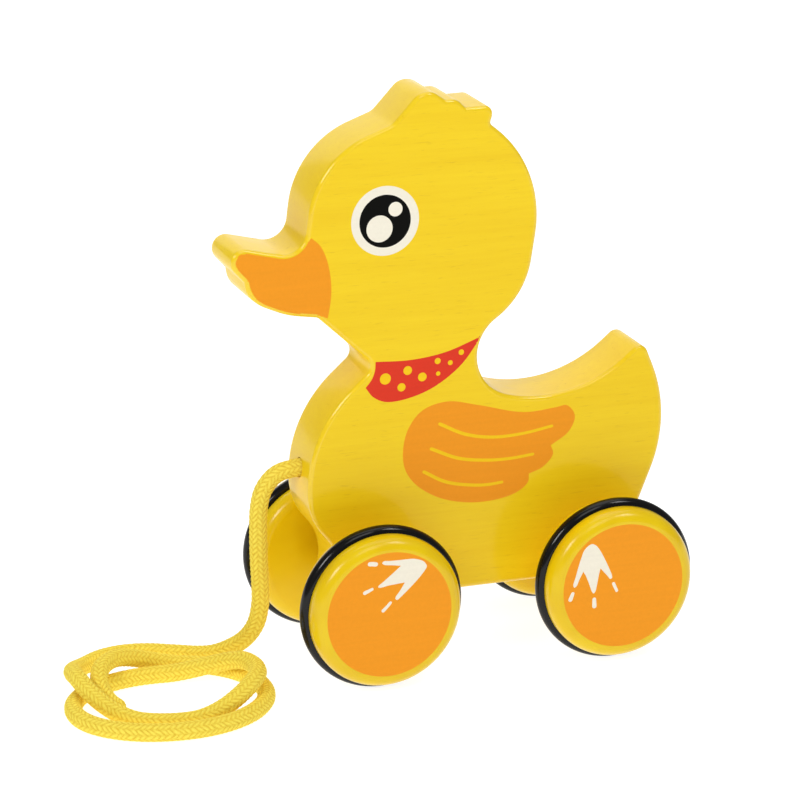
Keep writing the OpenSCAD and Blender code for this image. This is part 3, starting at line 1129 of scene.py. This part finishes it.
REAR_FOOT = [
    closed_shape(
        [(-14.4, 6.6), (-13.5, 5.0), (-12.2, 1.9), (-11.2, -0.8), (-10.6, -1.5), (-10, -0.9), (-9.4, 1.6),
         (-8.8, 5.0), (-8.3, 7.0)],
        [(-8.3, 7.0), (-6.9, 5.4), (-5.6, 3.9), (-4.8, 2.9), (-4.1, 3.2), (-4.1, 3.9), (-5.4, 7.1),
         (-7.1, 10.6), (-8.9, 13.8), (-10.2, 15.3), (-11.5, 15.9), (-12.8, 15.4), (-14.3, 13.9),
         (-15.3, 11.3), (-16.2, 8.4), (-17.1, 5.0), (-17.9, 2.2), (-17.5, 1.4), (-16.8, 1.7),
         (-15.8, 3.9), (-14.4, 6.6)],
        steps=5),
    brush_stroke([(-18, -0.7), (-18.4, -1.7), (-18.8, -2.7)], (1.2, 1.45), 4),
    brush_stroke([(-10.3, -3.6), (-10.25, -4.8), (-10.2, -6.0)], (1.3, 1.55), 4),
    brush_stroke([(-3.5, 1.1), (-2.9, -0.2), (-2.3, -1.5)], (1.1, 1.0), 4)]


# Sums of the braid's tree: the name of a value, its operation and its terms, which are numbers,
# inputs of the tree or values from above
BRAID_SUMS: tuple[tuple[str | float, ...], ...] = (
    # The loose end is sealed and closes to a round tip
    ("left", "SUBTRACT", "whole", "gone"),
    ("depth", "DIVIDE", "left", "Radius"),
    ("short", "SUBTRACT", 1.0, "depth"),
    ("square", "POWER", "short", 2.0),
    ("rest", "SUBTRACT", 1.0, "square"),
    ("tip", "SQRT", "rest"),
    # Columns of stitches lean to the right and to the left in turn
    ("columns", "MULTIPLY", "around", "Yarns"),
    ("angle", "MULTIPLY_ADD", "columns", math.pi, -math.pi / 4),
    ("wave", "COSINE", "angle"),
    ("hand", "SIGN", "wave"),
    ("turns", "DIVIDE", "along", "Pitch"),
    ("wound", "MULTIPLY", "turns", "Yarns"),
    ("lean", "MULTIPLY", "wound", "hand"),
    ("seat", "SUBTRACT", "columns", "lean"),
    # Hand-fed yarns wander, so the stitches are not all alike
    ("moved", "MULTIPLY_ADD", "wander", "stray", "seat"),
    ("half", "MULTIPLY", "moved", math.pi),
    ("crown", "SINE", "half"),
    ("stitch", "ABSOLUTE", "crown"),
    # A stitch dives under the next column at both of its ends
    ("column", "ABSOLUTE", "wave"),
    ("dive", "POWER", "column", "dive_power"),
    ("both", "MULTIPLY", "stitch", "dive"),
    ("lift", "POWER", "both", "lift_power"),
    ("below", "SUBTRACT", "lift", 1.0),
    ("sunk", "MULTIPLY", "below", "Relief"),
)


@dataclass
class PullCord:
    """Braided cotton cord: out of the breast, down to the floor and round in two and a half loose turns."""

    diameter: float = 6.0
    lying_z: float = 3.2
    fall: tuple[Point, ...] = (
        (-58.6, 0, 66.2), (-63.2, -0.4, 61.5), (-65, -0.9, 55.3), (-65.4, -1.5, 47), (-65.4, -2, 38),
        (-65, -2, 30), (-65, -2, 22.5), (-66.4, -1.4, 15.5), (-69.7, 0.6, 9.8), (-75.1, 3.2, 5.9),
        (-79.8, 5.7, 3.9))
    fall_steps: int = 5
    reach_x: tuple[float, ...] = (-82.6, -131, -74.1, -135.6, -71.8, -124.1, -77.6)
    reach_y: tuple[float, ...] = (-30.6, 17.2, -45.3, -4.3, -52.9, 2.3, -38.4)
    turns: Flat = (0.17, 2.6)
    turn_steps: int = 90
    least_turn: float = 0.001
    rises: tuple[Flat, ...] = ((0.43, 0.58), (0.84, 1.13), (2.29, 2.5))
    slope: float = 0.18
    cross_gap: float = 0.9
    yarns: int = 10
    pitch: float = 18.0
    relief: float = 0.24
    wander: float = 3.0
    stray: float = 0.9
    dive_power: float = 0.4
    lift_power: float = 0.6
    step: float = 0.36
    sides: int = 60

    def drop(self) -> list[Vector]:
        """Sets out the free run from the bottom of the hole to the coil.

        Returns:
            Points that the cord's middle passes through.
        """
        d, first = self.diameter, self.turns[0]
        lead = (self.coil(first + self.least_turn) - self.coil(first)).normalized() * d
        joint = self.coil(first) - lead
        deep_x = BREAST_X + HOLE_DEPTH
        plugged = ((deep_x, 0, HOLE_Z), (deep_x - d, 0, HOLE_Z), (BREAST_X, 0, HOLE_Z))
        return [*(Vector(p) for p in (*plugged, *self.fall)), joint - lead, joint - lead / 2, joint]

    @staticmethod
    def eased(q: float) -> float:
        """Gives a soft step from 0 to 1."""
        c = max(0.0, min(1.0, q))
        return c * c * (3 - 2 * c)

    @staticmethod
    def swing(reach: tuple[float, ...], s: float) -> float:
        """Swings softly from each reach to the next one.

        Args:
            reach: Places at every half turn.
            s: Half turns from the first place.

        Returns:
            The place after s half turns.
        """
        i = max(0, min(len(reach) - 2, math.floor(s)))
        return reach[i] + (reach[i + 1] - reach[i]) * (1 - math.cos(math.pi * (s - i))) / 2

    def coil(self, u: float) -> Vector:
        """Finds a point of the coil, lifted where it crosses a strand.

        Args:
            u: Turns from the start of the swings.

        Returns:
            The point.
        """
        lifts = [
            self.eased((u - a) / self.slope + 0.5) * (1 - self.eased((u - b) / self.slope + 0.5))
            for a, b in self.rises]
        height = self.lying_z + (self.diameter + self.cross_gap) * max(lifts)
        return Vector((self.swing(self.reach_x, 2 * u), self.swing(self.reach_y, 2 * u + 0.5), height))

    def route(self) -> list[Vector]:
        """Follows the cord's middle line.

        Returns:
            Points from the bottom of the hole to the loose end.
        """
        first, last = self.turns
        count = round((last - first) * self.turn_steps)
        drop = self.drop()
        line = [*smooth_line(drop, self.fall_steps), drop[-1]]
        line += [self.coil(first + (last - first) * k / count) for k in range(count + 1)]
        return line

    def braid(self, cotton: Material) -> GeometryNodeTree:
        """Builds the tree that draws a braid of two hands of yarns round the route.

        Each hand has the given number of yarns. They show in turn as columns of slanted
        stitches, one column leaning to the right and the next to the left.

        Args:
            cotton: Material of the yarn.

        Returns:
            The geometry node tree.
        """
        tree = bpy.data.node_groups.new("braided_cord", "GeometryNodeTree")
        sockets = tree.interface
        sockets.new_socket("Route", in_out="INPUT", socket_type="NodeSocketGeometry")
        for name in ("Radius", "Pitch", "Relief", "Step", "Yarns"):
            sockets.new_socket(name, in_out="INPUT", socket_type="NodeSocketFloat")
        sockets.new_socket("Sides", in_out="INPUT", socket_type="NodeSocketInt")
        sockets.new_socket("Cord", in_out="OUTPUT", socket_type="NodeSocketGeometry")
        given = add(tree, "NodeGroupInput").outputs

        route = add(tree, "GeometryNodeMeshToCurve", inputs={"Mesh": given["Route"]})
        fine = add(tree, "GeometryNodeResampleCurve", {"mode": "LENGTH"}, {
            "Curve": route, "Length": given["Step"]})
        way = add(tree, "GeometryNodeSplineParameter")
        marked = add(tree, "GeometryNodeStoreNamedAttribute", {"data_type": "FLOAT", "domain": "POINT"}, {
            "Geometry": fine, "Name": "along", "Value": way.outputs["Length"]})
        ring = add(tree, "GeometryNodeCurvePrimitiveCircle", inputs={
            "Resolution": given["Sides"], "Radius": given["Radius"]})
        profile = add(tree, "GeometryNodeStoreNamedAttribute", {"data_type": "FLOAT", "domain": "POINT"}, {
            "Geometry": ring, "Name": "around", "Value": way.outputs["Factor"]})
        wander = add(tree, "ShaderNodeTexNoise", inputs={"Scale": 1 / (self.wander * MM), "Detail": 1.0})
        made: dict[str | float, object] = {
            "whole": add(tree, "GeometryNodeSplineLength"), "gone": way.outputs["Length"],
            "wander": wander, "stray": self.stray,
            "dive_power": self.dive_power, "lift_power": self.lift_power}
        for name in ("Radius", "Pitch", "Relief", "Yarns"):
            made[name] = given[name]
        for name in ("along", "around"):
            made[name] = add(tree, "GeometryNodeInputNamedAttribute", {"data_type": "FLOAT"}, {"Name": name})
        for name, operation, *terms in BRAID_SUMS:
            # The round tip is one radius deep
            settings = {"operation": operation, "use_clamp": name == "depth"}
            inputs = {k: made.get(term, term) for k, term in enumerate(terms)}
            made[name] = add(tree, "ShaderNodeMath", settings, inputs)

        tube = add(tree, "GeometryNodeCurveToMesh", inputs={
            "Curve": marked, "Profile Curve": profile, "Scale": made["tip"], "Fill Caps": True})
        marks = add(tree, "GeometryNodeStoreNamedAttribute", {"data_type": "FLOAT", "domain": "POINT"}, {
            "Geometry": tube, "Name": "lift", "Value": made["lift"]})
        shift = add(tree, "ShaderNodeVectorMath", {"operation": "SCALE"}, {
            0: add(tree, "GeometryNodeInputNormal"), "Scale": made["sunk"]})
        woven = add(tree, "GeometryNodeSetPosition", inputs={"Geometry": marks, "Offset": shift})
        soft = add(tree, "GeometryNodeSetShadeSmooth", inputs={"Geometry": woven})
        real = add(tree, "GeometryNodeRealizeInstances", inputs={"Geometry": soft})
        dyed = add(tree, "GeometryNodeSetMaterial", inputs={"Geometry": real, "Material": cotton})
        add(tree, "NodeGroupOutput", inputs={"Cord": dyed})
        return tree

    def build(self, cotton: Material) -> Object:
        """Lays the braid along the route.

        Args:
            cotton: Material of the yarn.

        Returns:
            The cord as a plain mesh.
        """
        points = [p * MM for p in self.route()]
        mesh = bpy.data.meshes.new("cord_route")
        mesh.from_pydata(points, [(k, k + 1) for k in range(len(points) - 1)], [])
        guide = in_scene("cord_route", mesh)
        tree = self.braid(cotton)
        modifier = guide.modifiers.new("braid", "NODES")
        modifier.node_group = tree
        sizes = {"Radius": self.diameter / 2 * MM, "Pitch": self.pitch * MM, "Relief": self.relief * MM,
                 "Step": self.step * MM, "Yarns": float(self.yarns), "Sides": self.sides}
        for item in tree.interface.items_tree:
            if item.in_out == "INPUT" and item.name in sizes:
                modifier[item.identifier] = sizes[item.name]
        return baked(guide, "braided_pull_cord")

    def length(self) -> float:
        """Measures the cord's middle line in millimetres."""
        line = self.route()
        return sum((b - a).length for a, b in zip(line, line[1:]))


@dataclass(frozen=True)
class Softbox:
    """One large soft light that looks at the duck."""

    name: str
    place: Point
    size: float
    watts: float
    aim: Point = (0.0, 0.0, 0.085)

    def build(self) -> None:
        """Hangs the light and turns it to its aim."""
        data = bpy.data.lights.new(self.name, "AREA")
        data.shape = "SQUARE"
        data.size = self.size
        data.energy = self.watts
        lamp = in_scene(self.name, data)
        lamp.location = self.place
        lamp.visible_camera = False
        lamp.rotation_euler = (Vector(self.aim) - Vector(self.place)).to_track_quat("-Z", "Y").to_euler()


@dataclass
class Studio:
    """White light table, soft light and the camera at the photograph's view."""

    floor_size: float = 8.0
    walls: str = "#ffffff"
    sky: float = 0.22
    azimuth: float = -20.261
    elevation: float = 17.828
    roll: float = 0.427
    lens: float = 170.7
    sensor: float = 36.0
    far: float = 20.0
    eye: Point = (-0.4268, -1.1136, 0.469)
    lights: tuple[Softbox, ...] = (
        Softbox("left_softbox", (-1.3, -0.81, 1.07), 0.5, 10.2),
        Softbox("right_softbox", (0.77, -0.77, 1.52), 0.45, 6.2),
        Softbox("front_softbox", (-0.08, -0.98, 1.22), 0.6, 3.0),
        Softbox("top_softbox", (0.15, 0.2, 1.6), 1.2, 6.8),
        Softbox("back_softbox", (0.2, 1.6, 0.75), 1.7, 10.5),
    )

    def camera(self) -> None:
        """Sets the camera at the solved view."""
        a, e, r = (math.radians(v) for v in (self.azimuth, self.elevation, self.roll))
        back = Vector((math.sin(a) * math.cos(e), -math.cos(a) * math.cos(e), math.sin(e)))
        level = Vector((math.cos(a), math.sin(a), 0.0))
        upright = back.cross(level)
        right = level * math.cos(r) + upright * math.sin(r)
        up = upright * math.cos(r) - level * math.sin(r)
        data = bpy.data.cameras.new("photo_camera")
        data.lens = self.lens
        data.sensor_width = self.sensor
        data.clip_end = self.far
        camera = in_scene("photo_camera", data)
        turned = Matrix((right, up, back)).transposed().to_4x4()
        camera.matrix_world = Matrix.Translation(self.eye) @ turned
        bpy.context.scene.camera = camera

    def build(self) -> None:
        """Lays the floor, lights the room and sets the camera."""
        half = self.floor_size / 2
        corners = [(-half, -half, 0), (half, -half, 0), (half, half, 0), (-half, half, 0)]
        mesh = bpy.data.meshes.new("light_table")
        mesh.from_pydata(corners, [], [(0, 1, 2, 3)])
        mesh.materials.append(PaleFloor().make())
        floor = in_scene("light_table", mesh)
        world = bpy.data.worlds.new("white_room")
        world.use_nodes = True
        room = world.node_tree
        fill(room, room.nodes["Background"], {"Color": linear(self.walls), "Strength": self.sky})
        bpy.context.scene.world = world
        bpy.context.scene.view_settings.view_transform = "Standard"
        for light in self.lights:
            light.build()
        self.camera()


def fit(piece: Object, body: str, slot: str, *nodes: str) -> Object:
    """Parents a finished piece to its body, hides the CAD nodes that it stands for and logs it.

    Args:
        piece: Finished piece.
        body: Body that it moves with.
        slot: Material slot of the record; not used.
        nodes: CAD nodes that it stands for.

    Returns:
        The piece.
    """
    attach(piece, body)
    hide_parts(*nodes)
    LOG.info("%s rides on %s with %d faces", piece.name, body, len(piece.data.polygons))
    return piece


def main() -> None:
    """Builds the studio and every piece of the duck."""
    logging.basicConfig(level=logging.INFO, format="%(name)s: %(message)s")
    Studio().build()
    cord = PullCord()
    rope = fit(cord.build(BraidedCotton().make()), "duck", "cord", "pull_cord_drop", "pull_cord_coil")
    path = [tuple(p * MM) for p in cord.route()]
    cord.length() * MM
    inks = {ink: ScreenInk(ink).make() for ink in Ink}
    # Lacquer gathers on the rounded rims and shines there in thin lines
    gloss = LacqueredBeech("beech_yellow_stain_gloss_rim", coat=1.0, coat_roughness=0.08)
    board = DuckBoard().build(LacqueredBeech().make(), gloss.make(), inks)
    fit(board, "duck", "body_paint", "duck_body")
    enamel, rubber, wood = WheelEnamel().make(), RingRubber().make(), BareBeech().make()
    for wheels in (WheelSet("front", "front_wheelset", FRONT_AXLE_X, FRONT_FOOT),
                   WheelSet("rear", "rear_wheelset", REAR_AXLE_X, REAR_FOOT)):
        fit(wheels.axle(wood), wheels.body, "bare_wood", f"{wheels.name}_axle")
        for side in (LEFT, RIGHT):
            spot = f"{wheels.name}_{wheels.hand(side)}"
            fit(wheels.wheel(side, enamel, inks), wheels.body, "wheel_paint", f"{spot}_wheel")
            fit(wheels.tyre(side, rubber), wheels.body, "tyre_rubber", f"{spot}_tyre")
            fit(wheels.collar(side, enamel), wheels.body, "wheel_paint", f"{spot}_collar")


if __name__ == "__main__":
    main()
